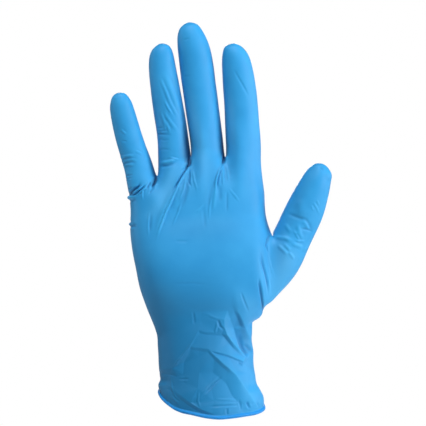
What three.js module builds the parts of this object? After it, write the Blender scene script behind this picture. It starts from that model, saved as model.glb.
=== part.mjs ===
// A disposable nitrile exam glove for a right hand, in the form that it has when it is worn with the
// fingers spread. The palm faces -Y, the fingers point to +Z and the thumb to +X. The origin is the
// middle of the opening where the wrist goes in. All lengths are in millimetres.
//
// The film is one surface: a coarse cage of four-sided faces, smoothed by Catmull-Clark subdivision,
// whose smooth surface passes through every cage point. An inner surface lies one wall inside it.
// Each region of the glove (cuff, palm, thumb and fingers) is the solid between the two.
import * as THREE from "three";

// The film and its edges
const FILM = 1;
const BEAD_RADIUS = 1.1;
const SEAM_GAP = 0.3;
const COLOUR = 0x3d9be3;

// The cuff, from its rolled rim to the narrowest part of the wrist
const CUFF_LENGTH = 42;
const OPENING_WIDTH = 62.4;
const OPENING_DEPTH = 48.5;
const WRIST_WIDTH = 57.2;
const WRIST_DEPTH = 37;
const WRIST_SHIFT = -4.7;
const RIM_TILT = 4.4;
const RIM_DROOP = 12.9;
const RIM_LEVEL = 0.48;

// The palm, from the wrist to the web between the ring and middle fingers
const PALM_LENGTH = 105.5;
const PALM_DEPTH = 42;
const PALM_HOLLOW = 1.6;
const PALM_SHIFT = -10.7;
const WEB_DEPTH = 15;
const WEB_CROWN = 1;

// The fingers
const LITTLE_WIDTH = 18.7;
const LITTLE_DEPTH = 15.2;
const LITTLE_LENGTH = 52.8;
const RING_WIDTH = 20.3;
const RING_DEPTH = 16.6;
const RING_LENGTH = 75.3;
const MIDDLE_WIDTH = 20.6;
const MIDDLE_DEPTH = 17.6;
const MIDDLE_LENGTH = 81.3;
const INDEX_WIDTH = 21.8;
const INDEX_DEPTH = 17.6;
const INDEX_LENGTH = 71.1;
const THUMB_WIDTH = 23.6;
const THUMB_DEPTH = 20.4;
const THUMB_LENGTH = 51.6;
const FINGER_CURL = 7;

// Angles round the bead, from its top outer side, down and under, to the inner wall
const BEAD_ANGLES = [62, 20, -22, -64, -106, -148];

const PALM_WIDTH = LITTLE_WIDTH + RING_WIDTH + MIDDLE_WIDTH + INDEX_WIDTH;

// Fingers from the little finger to the index finger. lean is the tilt to -X in degrees. rootDrop is how
// far the root lies below the top web. sections go from the root to the tip: along is a share of the
// length, wide of the root's width, and shift, sideways to +X, of the width too.
const FINGERS = [
  {
    name: "little_finger", width: LITTLE_WIDTH, depth: LITTLE_DEPTH, length: LITTLE_LENGTH,
    lean: 14.2, rootDrop: 0.11,
    sections: [
      { along: 0.13, wide: 0.93, shift: -0.03 },
      { along: 0.34, wide: 0.89, shift: -0.07 },
      { along: 0.56, wide: 0.85, shift: -0.09 },
      { along: 0.77, wide: 0.78, shift: -0.09 },
      { along: 0.89, wide: 0.67, shift: -0.08 },
      { along: 0.965, wide: 0.45, shift: -0.07 },
    ],
  },
  {
    name: "ring_finger", width: RING_WIDTH, depth: RING_DEPTH, length: RING_LENGTH,
    lean: 6.1, rootDrop: 0.053,
    sections: [
      { along: 0.12, wide: 0.97, shift: 0.045 },
      { along: 0.32, wide: 0.92, shift: 0.045 },
      { along: 0.55, wide: 0.89, shift: 0 },
      { along: 0.77, wide: 0.82, shift: -0.035 },
      { along: 0.915, wide: 0.7, shift: -0.02 },
      { along: 0.972, wide: 0.46, shift: 0.01 },
    ],
  },
  {
    name: "middle_finger", width: MIDDLE_WIDTH, depth: MIDDLE_DEPTH, length: MIDDLE_LENGTH,
    lean: 7.3, rootDrop: -0.013,
    sections: [
      { along: 0.1, wide: 0.97, shift: 0.01 },
      { along: 0.32, wide: 0.98, shift: 0.01 },
      { along: 0.56, wide: 0.985, shift: 0 },
      { along: 0.78, wide: 0.96, shift: -0.01 },
      { along: 0.92, wide: 0.74, shift: -0.06 },
      { along: 0.973, wide: 0.5, shift: -0.06 },
    ],
  },
  {
    name: "index_finger", width: INDEX_WIDTH, depth: INDEX_DEPTH, length: INDEX_LENGTH,
    lean: 4.7, rootDrop: 0.015,
    sections: [
      { along: 0.12, wide: 0.97, shift: 0.04 },
      { along: 0.32, wide: 0.95, shift: 0.055 },
      { along: 0.56, wide: 0.92, shift: 0.075 },
      { along: 0.78, wide: 0.84, shift: 0.05 },
      { along: 0.91, wide: 0.69, shift: 0.01 },
      { along: 0.969, wide: 0.47, shift: -0.03 },
    ],
  },
];

// The thumb leaves the side of the palm and turns upwards round its web. along is a section's distance
// from the web as a share of the thumb's length, side how far its near side stands from the web's line
// as a share of the width, turn the section's tilt in degrees, wide and deep shares of the width and
// depth, and curl a share of the fingers' curl.
const THUMB_LEAN = 24;
const THUMB_TIP_SIDE = 0.43;
const THUMB_SECTIONS = [
  { along: 0.03, side: 0, turn: 62, wide: 1.22, deep: 1.26, curl: 0.15 },
  { along: 0.13, side: 0.01, turn: 35, wide: 1.01, deep: 1.1, curl: 0.25 },
  { along: 0.34, side: 0.02, turn: 25, wide: 0.985, deep: 1, curl: 0.4 },
  { along: 0.55, side: 0.04, turn: 24, wide: 0.92, deep: 0.97, curl: 0.55 },
  { along: 0.74, side: 0.09, turn: 23, wide: 0.79, deep: 0.88, curl: 0.7 },
  { along: 0.88, side: 0.17, turn: 22, wide: 0.6, deep: 0.67, curl: 0.85 },
  { along: 0.96, side: 0.25, turn: 20, wide: 0.38, deep: 0.42, curl: 0.95 },
];

// Webs between neighbouring fingers: how far each lies below the top web, as a share of the palm
const WEB_DROPS = [0.11, 0, 0];

// Rows of the cuff, from the rim up. up is a share of the cuff's length, left and right of the opening's
// width, deep a mix from the wrist's depth, 0, to the opening's, 1, and rim how much of the rim's tilt
// and droop the row takes.
const CUFF_ROWS = [
  { up: 0, left: -0.5, right: 0.5, deep: 1, rim: 1 },
  { up: 0.13, left: -0.514, right: 0.5, deep: 0.95, rim: 0.8 },
  { up: 0.28, left: -0.504, right: 0.458, deep: 0.76, rim: 0.52 },
  { up: 0.46, left: -0.506, right: 0.42, deep: 0.48, rim: 0.27 },
  { up: 0.64, left: -0.51, right: 0.403, deep: 0.26, rim: 0.1 },
  { up: 0.82, left: -0.519, right: 0.386, deep: 0.08, rim: 0.02 },
];

// Rows of the palm, from the wrist up. up is a share of the palm's length, left and right of its width,
// front and back of its depth. round is the exponent of the section's outline, hollow the share of the
// palm's hollow, and arc how much of the finger roots' arc the row takes.
const PALM_ROWS = [
  { up: 0.1, left: -0.328, right: 0.502, front: 0.44, back: 0.47, round: 2.2, hollow: 0.2, arc: 0 },
  { up: 0.2, left: -0.378, right: 0.605, front: 0.505, back: 0.46, round: 2.4, hollow: 0.6, arc: 0 },
  { up: 0.37, left: -0.437, right: 0.594, front: 0.545, back: 0.43, round: 2.6, hollow: 1, arc: 0.05 },
  { up: 0.565, left: -0.469, right: 0.581, front: 0.49, back: 0.4, round: 2.6, hollow: 1, arc: 0.15 },
  { up: 0.68, left: -0.472, right: 0.535, front: 0.42, back: 0.38, round: 2.7, hollow: 0.7, arc: 0.3 },
  { up: 0.82, left: -0.475, right: 0.524, front: 0.36, back: 0.34, round: 2.7, hollow: 0.2, arc: 0.6 },
];
const THUMB_FIRST_ROW = 1;
const THUMB_LAST_ROW = 3;

// The main folds, as seen from the front. on is the region, from and to are [across, up] shares of it,
// from its left edge and its lower end, and wide and high are shares of a fold's usual width and height.
// A fold with a negative height is a furrow.
const FOLD_WIDTH = 3;
const FOLD_HEIGHT = 1.5;
const FOLDS = [
  { on: "palm", from: [0.53, 1.0], to: [0.2, 0.42], wide: 1.2, high: 0.9 },
  { on: "palm", from: [0.46, 1.02], to: [0.36, 0.7], wide: 0.9, high: -0.6 },
  { on: "palm", from: [0.74, 1.0], to: [0.64, 0.62], wide: 1, high: -0.7 },
  { on: "palm", from: [0.68, 0.98], to: [0.6, 0.7], wide: 0.9, high: 0.6 },
  { on: "palm", from: [0, 0.82], to: [0.22, 0.93], wide: 0.95, high: -1.1 },
  { on: "palm", from: [0, 0.75], to: [0.2, 0.84], wide: 0.95, high: 0.6 },
  { on: "palm", from: [0.72, 0.48], to: [0.85, 0.16], wide: 0.8, high: -0.8 },
  { on: "palm", from: [0.79, 0.5], to: [0.9, 0.22], wide: 0.9, high: 0.6 },
  { on: "palm", from: [0.93, 0.18], to: [0.78, -0.02], wide: 1, high: -0.7 },
  { on: "cuff", from: [0.72, 1.12], to: [0.86, 0.72], wide: 1.3, high: 1.2 },
  { on: "cuff", from: [0.88, 1.1], to: [0.98, 0.76], wide: 1, high: -1.2 },
  { on: "cuff", from: [0.55, 0.8], to: [0.98, 0.6], wide: 1.1, high: 1.2 },
  { on: "cuff", from: [0.4, 0.86], to: [0.62, 0.8], wide: 0.9, high: -0.8 },
  { on: "cuff", from: [0.5, 0.6], to: [0.84, 0.38], wide: 1.1, high: -1 },
  { on: "cuff", from: [0.46, 1.04], to: [0.12, 0.55], wide: 0.9, high: 0.7 },
  { on: "cuff", from: [0.06, 0.3], to: [0.62, 0.02], wide: 0.95, high: -1 },
  { on: "cuff", from: [0.66, 0.58], to: [0.95, 0.12], wide: 1.4, high: 1 },
  { on: "cuff", from: [0, 0.5], to: [0.12, 0.46], wide: 1, high: -1 },
];

// Shapes that every finger shares, as shares of its own depth or width: how much deeper it is at its root,
// how far the root reaches forward and back, how much rounder than its width its tip's depth is, and how
// far the palm's corners stand in from the outer fingers' sides
const ROOT_SWELL = 0.17;
const ROOT_REACH = 0.61;
const TIP_ROUNDNESS = 1.06;
const CORNER_INSET = 0.15;

// How far the roots' outer corners and the webs' edges lie below their middles, as shares of the palm
const CORNER_DROP = 0.02;
const WEB_SLOPE = 0.02;

// Numbers of the cage: columns across each finger's front, columns in a full ring, and how often the
// cage is moved so that its smooth surface meets the wanted points
const PER_FINGER = 2;
const FRONT = FINGERS.length * PER_FINGER;
const RING = 2 * (FRONT + 2);
const FIT_ROUNDS = 10;

const ROOTS_LEFT = PALM_SHIFT - PALM_WIDTH / 2;
const TOP_WEB = CUFF_LENGTH + PALM_LENGTH;

const vector = (x, y, z) => new THREE.Vector3(x, y, z);
const mix = (a, b, share) => a + (b - a) * share;
const radians = (degrees) => (degrees * Math.PI) / 180;

// Where finger i meets its right neighbour, or the palm's edge
function rootEdge(i) {
  return FINGERS.slice(0, i).reduce((x, finger) => x + finger.width, ROOTS_LEFT);
}

// The front columns' places across the palm, as shares: bunched at the ends near the rim, and under the
// fingers' middles and webs near the roots
function columnShare(column, towardsRoots) {
  const round = (1 - Math.cos((Math.PI * (column + 1)) / (FRONT + 2))) / 2;
  const finger = Math.min(Math.floor(column / PER_FINGER), FINGERS.length - 1);
  const within = column / PER_FINGER - finger;
  let x = rootEdge(finger) + FINGERS[finger].width * within;
  if (column === 0) x += CORNER_INSET * LITTLE_WIDTH;
  if (column === FRONT) x -= CORNER_INSET * INDEX_WIDTH;
  return mix(round, (x - ROOTS_LEFT) / PALM_WIDTH, towardsRoots);
}

// Height of the finger roots at a place across the palm, relative to the top web
function rootArc(column) {
  if (column % PER_FINGER === 0 && column > 0 && column < FRONT)
    return -WEB_DROPS[column / PER_FINGER - 1] * PALM_LENGTH;
  const finger = FINGERS[Math.min(Math.floor(column / PER_FINGER), FINGERS.length - 1)];
  const outward = column === 0 || column === FRONT ? CORNER_DROP : 0;
  return -(finger.rootDrop + outward) * PALM_LENGTH;
}

// One ring of the hand: the left side, the front from left to right, the right side, the back from
// right to left. place(share, face) gives a point, where face is -1 at the front, 0 at a side, 1 behind.
function ringOf(towardsRoots, place) {
  const share = (column) => columnShare(column, towardsRoots);
  const front = [];
  const back = [];
  for (let column = 0; column <= FRONT; column++) {
    front.push(place(share(column), -1, column));
    back.unshift(place(share(column), 1, column));
  }
  return [place(0, 0, 0), ...front, place(1, 0, FRONT), ...back];
}

function cuffRing(row) {
  const deep = mix(WRIST_DEPTH, OPENING_DEPTH, row.deep) / 2;
  const left = row.left * OPENING_WIDTH;
  const right = row.right * OPENING_WIDTH;
  return ringOf(0, (share, face) => {
    const sideways = 2 * share - 1;
    const forward = -face * Math.sqrt(1 - sideways * sideways);
    const droop = RIM_DROOP * (((1 + forward) / 2) ** 2 - RIM_LEVEL);
    const rim = -RIM_TILT * sideways - droop;
    return vector(mix(left, right, share), -forward * deep, row.up * CUFF_LENGTH + row.rim * rim);
  });
}

function palmRing(row) {
  const left = PALM_SHIFT + row.left * PALM_WIDTH;
  const right = PALM_SHIFT + row.right * PALM_WIDTH;
  return ringOf(row.up, (share, face, column) => {
    const sideways = Math.abs(2 * share - 1);
    const arch = (1 - sideways ** row.round) ** (1 / row.round);
    const dip = row.hollow * PALM_HOLLOW * (1 - sideways * sideways) ** 2;
    const y = face < 0 ? -row.front * PALM_DEPTH * arch + dip : face * row.back * PALM_DEPTH * arch;
    const z = CUFF_LENGTH + row.up * PALM_LENGTH + row.arc * rootArc(column);
    return vector(mix(left, right, share), y, z);
  });
}

function wristRing() {
  return ringOf(0, (share, face) => {
    const y = (face * WRIST_DEPTH * Math.sqrt(1 - (2 * share - 1) ** 2)) / 2;
    return vector(WRIST_SHIFT + WRIST_WIDTH * (share - 0.5), y, CUFF_LENGTH);
  });
}

// The ring at the finger roots: full under each finger's middle, pinched at the webs and corners
function rootRing() {
  return ringOf(1, (share, face, column) => {
    const finger = FINGERS[Math.min(Math.floor(column / PER_FINGER), FINGERS.length - 1)];
    const web = column % PER_FINGER === 0;
    const reach = web ? WEB_DEPTH / 2 : finger.depth * ROOT_REACH;
    const webSlope = web && face !== 0 ? WEB_SLOPE * PALM_LENGTH : 0;
    const z = TOP_WEB + rootArc(column) - webSlope * (face > 0 ? 2 : 1);
    return vector(ROOTS_LEFT + share * PALM_WIDTH, face * reach, z);
  });
}

// The cage under construction: points, and four-sided faces with the region that each belongs to
const points = [];
const faces = [];
const addPoint = (point) => points.push(point) - 1;
const addRing = (ring) => ring.map(addPoint);

function addFace(a, b, c, d, region) {
  faces.push({ corners: [a, b, c, d], region });
}

// Faces between two rings of points, except where skip says so
function addBand(lower, upper, region, skip = () => false) {
  lower.forEach((_, i) => {
    const next = (i + 1) % lower.length;
    if (!skip(i)) addFace(lower[i], lower[next], upper[next], upper[i], region);
  });
}

// A tube from a ring of eight points on the palm through sections to a rounded tip. The first band
// belongs to the palm.
function addTube(root, sections, tip, region) {
  let lower = root;
  sections.forEach((section, i) => {
    const upper = addRing(section);
    addBand(lower, upper, i ? region : "palm");
    lower = upper;
  });
  const top = addPoint(tip);
  for (let i = 0; i < lower.length; i += 2) {
    const before = lower[(i + lower.length - 1) % lower.length];
    addFace(before, lower[i], lower[i + 1], top, region);
  }
}

// Eight points round a section. across runs from the first point to the opposite one.
function sectionRing(centre, across, width, depth) {
  return Array.from({ length: 8 }, (_, i) => {
    const angle = (i * Math.PI) / 4;
    return centre
      .clone()
      .addScaledVector(across, (-Math.cos(angle) * width) / 2)
      .add(vector(0, (-Math.sin(angle) * depth) / 2, 0));
  });
}

// The root of finger i as eight points of the root ring and its webs: left, front corners, right, back
function fingerRoot(i, ring, webs) {
  const first = 1 + i * PER_FINGER;
  const back = (column) => ring[RING - 1 - column];
  const left = i ? webs[i - 1] : ring[0];
  const right = i < webs.length ? webs[i] : ring[FRONT + 2];
  const column = i * PER_FINGER;
  return [left, ring[first], ring[first + 1], ring[first + 2], right,
    back(column + 2), back(column + 1), back(column)];
}

function addFinger(finger, i, ring, webs) {
  const lean = radians(finger.lean);
  const axis = vector(-Math.sin(lean), 0, Math.cos(lean));
  const across = vector(Math.cos(lean), 0, Math.sin(lean));
  const root = vector(rootEdge(i) + finger.width / 2, 0, TOP_WEB - finger.rootDrop * PALM_LENGTH);
  const at = (along, shift) =>
    root
      .clone()
      .addScaledVector(axis, along * finger.length)
      .addScaledVector(across, shift * finger.width)
      .add(vector(0, -FINGER_CURL * along * along, 0));
  const sections = finger.sections.map(({ along, wide, shift }) => {
    const deep = Math.min(1, wide * TIP_ROUNDNESS) * (1 + ROOT_SWELL * (1 - along) ** 3);
    return sectionRing(at(along, shift), across, wide * finger.width, deep * finger.depth);
  });
  addTube(fingerRoot(i, ring, webs), sections, at(1, finger.sections.at(-1).shift), finger.name);
}

function addThumb(rows) {
  const lean = radians(THUMB_LEAN);
  const axis = vector(Math.sin(lean), 0, Math.cos(lean));
  const outwards = vector(Math.cos(lean), 0, -Math.sin(lean));
  const right = FRONT + 2;
  const [low, middle, high] = rows.slice(THUMB_FIRST_ROW, THUMB_LAST_ROW + 1);
  const at = (along, side, curl) =>
    points[high[right]]
      .clone()
      .addScaledVector(axis, along * THUMB_LENGTH)
      .addScaledVector(outwards, side * THUMB_WIDTH)
      .add(vector(0, -curl * FINGER_CURL, 0));
  const sections = THUMB_SECTIONS.map(({ along, side, turn, wide, deep, curl }) => {
    const across = vector(Math.cos(radians(turn)), 0, -Math.sin(radians(turn)));
    const centre = at(along, side, curl).addScaledVector(across, (wide * THUMB_WIDTH) / 2);
    return sectionRing(centre, across, wide * THUMB_WIDTH, deep * THUMB_DEPTH);
  });
  const root = [high[right], high[right - 1], middle[right - 1], low[right - 1], low[right],
    low[right + 1], middle[right + 1], high[right + 1]];
  addTube(root, sections, at(1, THUMB_TIP_SIDE, 1), "thumb");
}

function buildCage() {
  const besideThumb = (i) => i === FRONT + 1 || i === FRONT + 2;
  const wrist = addRing(wristRing());
  let lower = null;
  for (const row of CUFF_ROWS) {
    const upper = addRing(cuffRing(row));
    if (lower) addBand(lower, upper, "cuff");
    lower = upper;
  }
  addBand(lower, wrist, "cuff");

  const palmRows = PALM_ROWS.map((row) => addRing(palmRing(row)));
  const rootRow = addRing(rootRing());
  lower = wrist;
  [...palmRows, rootRow].forEach((upper, i) => {
    const atThumb = i > THUMB_FIRST_ROW && i <= THUMB_LAST_ROW;
    addBand(lower, upper, "palm", atThumb ? besideThumb : undefined);
    lower = upper;
  });

  const webs = WEB_DROPS.map((drop, i) =>
    addPoint(vector(rootEdge(i + 1), 0, TOP_WEB - drop * PALM_LENGTH + WEB_CROWN)),
  );
  FINGERS.forEach((finger, i) => addFinger(finger, i, rootRow, webs));
  addThumb(palmRows);
}

// What smoothing needs to know about the faces: each point's faces, and its neighbours on an open edge
function around(corners, count) {
  const at = Array.from({ length: count }, () => ({ sides: [], opposite: [], open: [] }));
  const edges = new Map();
  corners.forEach((face) => {
    face.forEach((a, i) => {
      const next = face[(i + 1) % 4];
      at[a].sides.push(next, face[(i + 3) % 4]);
      at[a].opposite.push(face[(i + 2) % 4]);
      const key = Math.min(a, next) + "-" + Math.max(a, next);
      edges.set(key, (edges.get(key) ?? []).concat([[a, next]]));
    });
  });
  for (const sides of edges.values()) {
    if (sides.length > 1) continue;
    const [a, b] = sides[0];
    at[a].open.push(b);
    at[b].open.push(a);
  }
  return at;
}

const sum = (all, indices) => indices.reduce((total, i) => total.add(all[i]), vector(0, 0, 0));

// Where each point lies on the smooth Catmull-Clark surface of a mesh
function smoothPoints(all, corners) {
  return around(corners, all.length).map(({ sides, opposite, open }, i) => {
    if (open.length) return sum(all, open).addScaledVector(all[i], 4).divideScalar(6);
    const valence = opposite.length;
    if (!valence) return all[i].clone();
    return sum(all, sides)
      .multiplyScalar(2)
      .add(sum(all, opposite))
      .addScaledVector(all[i], valence * valence)
      .divideScalar(valence * (valence + 5));
  });
}

// Moves the points so that the smooth surface passes through where they stood
function fit(wanted, corners) {
  const moved = wanted.map((point) => point.clone());
  for (let round = 0; round < FIT_ROUNDS; round++) {
    const smooth = smoothPoints(moved, corners);
    moved.forEach((point, i) => point.add(wanted[i]).sub(smooth[i]));
  }
  return moved;
}

// One step of Catmull-Clark subdivision. Each face gives four that keep its region.
function subdivide(all, quads) {
  const corners = quads.map((quad) => quad.corners);
  const result = around(corners, all.length).map(({ sides, opposite, open }, i) => {
    if (open.length) return sum(all, open).addScaledVector(all[i], 6).divideScalar(8);
    const n = opposite.length;
    return sum(all, sides)
      .multiplyScalar(3)
      .add(sum(all, opposite))
      .divideScalar(4 * n * n)
      .addScaledVector(all[i], 1 - 7 / (4 * n));
  });
  const centres = corners.map((face) => sum(all, face).divideScalar(4));
  const edges = new Map();
  corners.forEach((face, f) => {
    face.forEach((a, i) => {
      const b = face[(i + 1) % 4];
      const key = Math.min(a, b) + "-" + Math.max(a, b);
      if (!edges.has(key)) edges.set(key, { ends: [a, b], sides: [] });
      edges.get(key).sides.push(f);
    });
  });
  for (const edge of edges.values()) {
    const point = sum(all, edge.ends);
    if (edge.sides.length > 1) point.add(sum(centres, edge.sides)).divideScalar(4);
    else point.divideScalar(2);
    edge.index = result.push(point) - 1;
  }
  const made = [];
  quads.forEach(({ corners: face, region }, f) => {
    const centre = result.push(centres[f]) - 1;
    const middle = face.map((a, i) => {
      const b = face[(i + 1) % 4];
      return edges.get(Math.min(a, b) + "-" + Math.max(a, b)).index;
    });
    face.forEach((a, i) => made.push({ corners: [a, middle[i], centre, middle[(i + 3) % 4]], region }));
  });
  return { all: result, quads: made };
}

// The unit normal of each point, from the faces round it
function normalsOf(all, quads) {
  const normals = all.map(() => vector(0, 0, 0));
  for (const { corners } of quads) {
    const [a, b, c, d] = corners.map((i) => all[i]);
    const normal = c.clone().sub(a).cross(d.clone().sub(b));
    corners.forEach((i) => normals[i].add(normal));
  }
  return normals.map((normal) => normal.normalize());
}

// The hand's left and right edge at each row, for placing folds
const EDGES = [
  ...CUFF_ROWS.map((row) => ({
    z: row.up * CUFF_LENGTH,
    left: row.left * OPENING_WIDTH,
    right: row.right * OPENING_WIDTH,
  })),
  { z: CUFF_LENGTH, left: WRIST_SHIFT - WRIST_WIDTH / 2, right: WRIST_SHIFT + WRIST_WIDTH / 2 },
  ...PALM_ROWS.map((row) => ({
    z: CUFF_LENGTH + row.up * PALM_LENGTH,
    left: PALM_SHIFT + row.left * PALM_WIDTH,
    right: PALM_SHIFT + row.right * PALM_WIDTH,
  })),
  { z: TOP_WEB, left: ROOTS_LEFT, right: ROOTS_LEFT + PALM_WIDTH },
];

// A fold's end as x and z in the front view
function onFront(region, [across, up]) {
  const z = region === "cuff" ? up * CUFF_LENGTH : CUFF_LENGTH + up * PALM_LENGTH;
  const above = Math.max(1, EDGES.findIndex((edge) => edge.z > z));
  const [low, high] = z < TOP_WEB ? [EDGES[above - 1], EDGES[above]] : EDGES.slice(-2);
  const share = (z - low.z) / (high.z - low.z);
  return new THREE.Vector2(mix(mix(low.left, high.left, share), mix(low.right, high.right, share), across), z);
}

// How far the folds lift a point of the front, seen from the front. A fold is full at its first end and
// fades towards its other one.
const FOLD_LINES = FOLDS.map(({ on, from, to, wide, high }) => {
  const start = onFront(on, from);
  return { start, way: onFront(on, to).sub(start), wide: wide * FOLD_WIDTH, high: high * FOLD_HEIGHT };
});

function foldHeight(point, normal) {
  const facing = Math.min(1, Math.max(0, -normal.y * 1.6));
  const seen = new THREE.Vector2(point.x, point.z);
  return FOLD_LINES.reduce((height, { start, way, wide, high }) => {
    const from = seen.clone().sub(start);
    const share = Math.min(1, Math.max(0, from.dot(way) / way.lengthSq()));
    const distance = from.addScaledVector(way, -share).length();
    const fade = Math.cos((share * Math.PI) / 2);
    return height + facing * high * fade * Math.exp(-((distance / wide) ** 2));
  }, 0);
}

// The outer surface: the fitted cage, subdivided once, put on its smooth surface and folded
function outerSurface() {
  buildCage();
  const corners = faces.map((face) => face.corners);
  const { all, quads } = subdivide(fit(points, corners), faces);
  const smooth = smoothPoints(all, quads.map((quad) => quad.corners));
  const normals = normalsOf(smooth, quads);
  smooth.forEach((point, i) => point.addScaledVector(normals[i], foldHeight(point, normals[i])));
  return { all: smooth, quads };
}

// The round rolled edge below a rim point, from the outer surface round to the inner one
function beadPoints(outer, inner) {
  const outwards = outer.clone().sub(inner).setZ(0).normalize();
  const centre = inner.clone().addScaledVector(outwards, BEAD_RADIUS).add(vector(0, 0, -BEAD_RADIUS));
  return BEAD_ANGLES.map((degrees) =>
    centre
      .clone()
      .addScaledVector(outwards, BEAD_RADIUS * Math.cos(radians(degrees)))
      .add(vector(0, 0, BEAD_RADIUS * Math.sin(radians(degrees)))),
  );
}

// A region as a solid: its outer faces, the inner ones turned round, and walls along its open edges.
// A wall at a seam stands half the seam's gap back from it, and the wall at the rim is the bead.
function regionMesh(region, surface, inner) {
  const own = surface.quads.filter((quad) => quad.region === region);
  const edges = new Map();
  for (const { corners } of own)
    corners.forEach((a, i) => edges.set(a + "-" + corners[(i + 1) % 4], [a, corners[(i + 1) % 4]]));
  const open = [...edges.values()].filter(([a, b]) => !edges.has(b + "-" + a));
  const onEdge = new Set(open.flat());
  const shared = new Set(surface.quads.filter((q) => q.region !== region).flatMap((q) => q.corners));
  const inwards = (i) => {
    const near = own.filter((quad) => quad.corners.includes(i)).flatMap((quad) => quad.corners);
    const kept = near.filter((n) => !onEdge.has(n));
    return sum(surface.all, kept).divideScalar(kept.length).sub(surface.all[i]).normalize();
  };
  const back = new Map([...onEdge].filter((i) => shared.has(i)).map((i) => [i, inwards(i)]));

  const position = [];
  const add = (point) => position.push(point.x, point.y, point.z) / 3 - 1;
  const place = (point, i) =>
    back.has(i) ? point.clone().addScaledVector(back.get(i), SEAM_GAP / 2) : point;
  const used = [...new Set(own.flatMap((quad) => quad.corners))];
  const outside = new Map(used.map((i) => [i, add(place(surface.all[i], i))]));
  const inside = new Map(used.map((i) => [i, add(place(inner[i], i))]));
  const chains = new Map([...onEdge].map((i) => {
    const between = shared.has(i) ? [] : beadPoints(surface.all[i], inner[i]).map(add);
    return [i, [outside.get(i), ...between, inside.get(i)]];
  }));

  const index = [];
  const quad = (a, b, c, d) => index.push(a, b, c, a, c, d);
  for (const { corners } of own) {
    quad(...corners.map((i) => outside.get(i)));
    quad(...corners.map((i) => inside.get(i)).reverse());
  }
  for (const [a, b] of open) {
    const [from, to] = [chains.get(b), chains.get(a)];
    for (let i = 0; i + 1 < from.length; i++) quad(from[i], to[i], to[i + 1], from[i + 1]);
  }
  const geometry = new THREE.BufferGeometry();
  geometry.setAttribute("position", new THREE.Float32BufferAttribute(position, 3));
  geometry.setIndex(index);
  geometry.computeVertexNormals();
  return geometry;
}

const surface = outerSurface();
const normals = normalsOf(surface.all, surface.quads);
const inner = surface.all.map((point, i) => point.clone().addScaledVector(normals[i], -FILM));

const nitrile = new THREE.MeshStandardMaterial({ color: COLOUR, roughness: 0.45, metalness: 0 });
const glove = new THREE.Group();
for (const region of ["cuff", "palm", "thumb", ...FINGERS.map((finger) => finger.name)]) {
  const mesh = new THREE.Mesh(regionMesh(region, surface, inner), nitrile.clone());
  mesh.name = region;
  glove.add(mesh);
}

export default glove;
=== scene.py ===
# A disposable nitrile exam glove for a right hand, held up in its worn form, palm to the camera.
# The glove is one film: the CAD's coarse cage, smoothed, folded and given an inner side and a rolled
# edge. The tables of its sizes hold lengths in millimetres and shares of them, as the CAD's do. The
# tables of its folds and colours hold places in pixels of the photograph's frame.
import math

import bmesh
import bpy
import numpy as np
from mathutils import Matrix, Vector, noise
from mathutils.geometry import delaunay_2d_cdt
from mathutils.kdtree import KDTree


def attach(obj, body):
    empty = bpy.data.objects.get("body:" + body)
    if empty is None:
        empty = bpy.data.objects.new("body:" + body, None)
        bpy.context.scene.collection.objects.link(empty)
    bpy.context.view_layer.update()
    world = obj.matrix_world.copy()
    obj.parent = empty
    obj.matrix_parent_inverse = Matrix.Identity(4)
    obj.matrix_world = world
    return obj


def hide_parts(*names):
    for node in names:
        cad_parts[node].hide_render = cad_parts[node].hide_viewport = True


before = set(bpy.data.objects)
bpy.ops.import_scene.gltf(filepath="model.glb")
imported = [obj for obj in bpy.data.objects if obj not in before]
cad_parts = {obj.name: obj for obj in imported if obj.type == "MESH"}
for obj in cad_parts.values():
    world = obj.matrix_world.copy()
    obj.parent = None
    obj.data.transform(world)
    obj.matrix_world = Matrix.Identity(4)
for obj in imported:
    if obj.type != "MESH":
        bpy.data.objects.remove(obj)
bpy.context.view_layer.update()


def add_object(name, data):
    added = bpy.data.objects.new(name, data)
    bpy.context.scene.collection.objects.link(added)
    return added


# Camera, level with the middle of the glove: lengths in metres, but its sensor in millimetres
CAMERA_DISTANCE = 2.0
VIEW_WIDTH = 0.2577
SENSOR = 36
CENTRE = (0.0009, 0.1143)

camera_data = bpy.data.cameras.new("camera")
camera_data.sensor_width = SENSOR
camera_data.lens = SENSOR * CAMERA_DISTANCE / VIEW_WIDTH
camera_data.clip_end = 100
camera = add_object("camera", camera_data)
camera.location = (CENTRE[0], -CAMERA_DISTANCE, CENTRE[1])
camera.rotation_euler = (math.pi / 2, 0, 0)
bpy.context.scene.camera = camera

# The glove's sizes
FILM = 1
BEAD_RADIUS = 1.1
CUFF_LENGTH = 42
OPENING_WIDTH = 62.4
OPENING_DEPTH = 48.5
WRIST_WIDTH = 57.2
WRIST_DEPTH = 37
WRIST_SHIFT = -4.7
RIM_TILT = 4.4
RIM_DROOP = 12.9
RIM_LEVEL = 0.48
PALM_LENGTH = 105.5
PALM_DEPTH = 42
PALM_HOLLOW = 1.6
PALM_SHIFT = -10.7
WEB_DEPTH = 15
WEB_CROWN = 1
ROOT_SWELL = 0.17
ROOT_REACH = 0.61
THUMB_WIDTH = 23.6
THUMB_DEPTH = 20.4
THUMB_LENGTH = 51.6
THUMB_LEAN = 24
THUMB_TIP_SIDE = 0.43
FINGER_CURL = 7

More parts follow.
